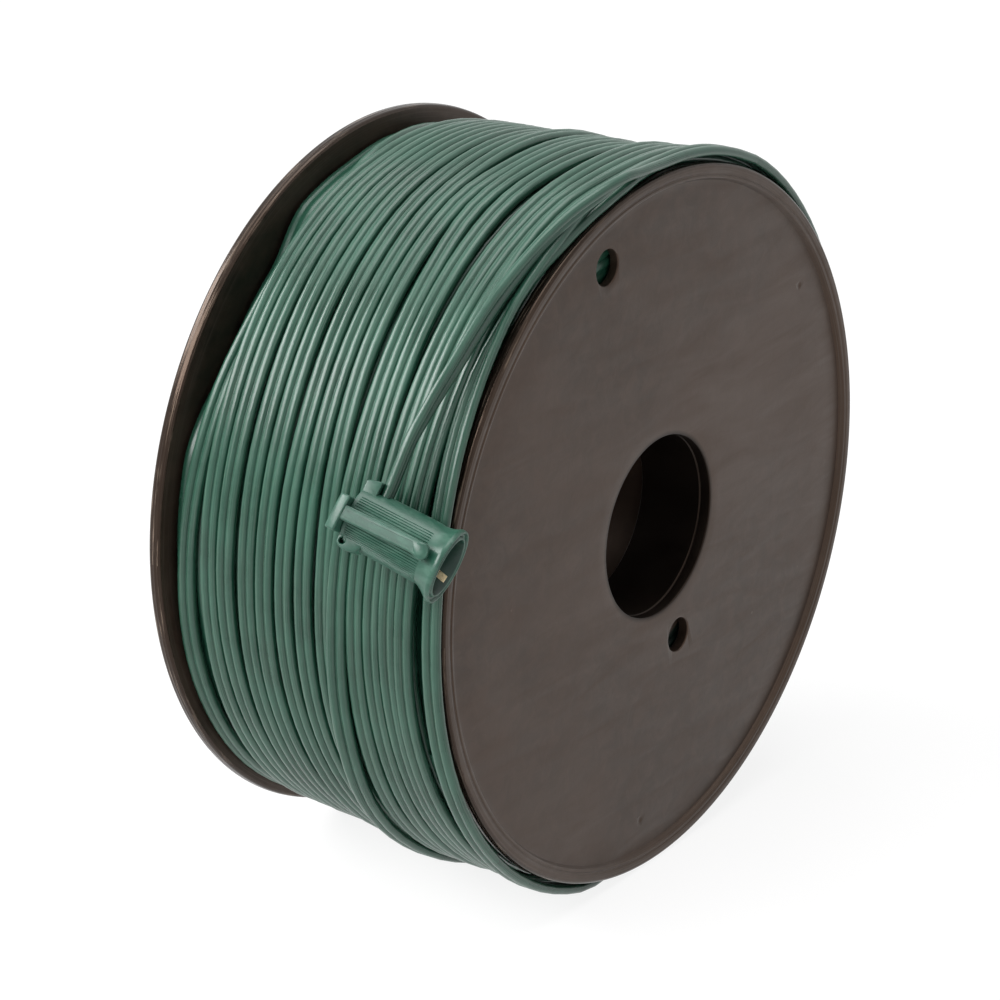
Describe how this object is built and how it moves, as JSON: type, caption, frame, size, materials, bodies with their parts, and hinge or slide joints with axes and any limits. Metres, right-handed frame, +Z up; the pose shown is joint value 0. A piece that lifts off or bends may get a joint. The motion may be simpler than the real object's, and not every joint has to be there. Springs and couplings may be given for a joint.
{
  "type": "cord reel",
  "caption": "Moulded reel of flat two-core lighting cord: two rimmed flanges on a hollow drum, the cord wound over it, and a clip lampholder on the cord's free end.",
  "frame": {"origin": "middle of the arbor bore, on the reel's axis, half way between the flanges", "axes": "+Y along the reel's axis away from the near flange, +Z up as the reel stands on its rims, +X to the right when the near flange is looked at"},
  "size_m": [0.2308, 0.1077, 0.206],
  "materials": {
    "reel_plastic": "satin moulded black-brown plastic with fine flow marks and scuffs",
    "cord_sheath": "semi-gloss soft vinyl sheath, smooth on one core",
    "holder_plastic": "semi-gloss moulded plastic",
    "contact_brass": "plain rolled strip, slightly dull"
  },
  "bodies": {
    "root": {"front_flange": "reel_plastic", "rear_flange": "reel_plastic", "barrel": "reel_plastic", "winding_core": "cord_sheath", "winding_outer": "cord_sheath", "cord_tail": "cord_sheath", "socket_body": "holder_plastic", "clip_cap": "holder_plastic", "side_contact": "contact_brass", "centre_contact": "contact_brass"}
  },
  "joints": []
}
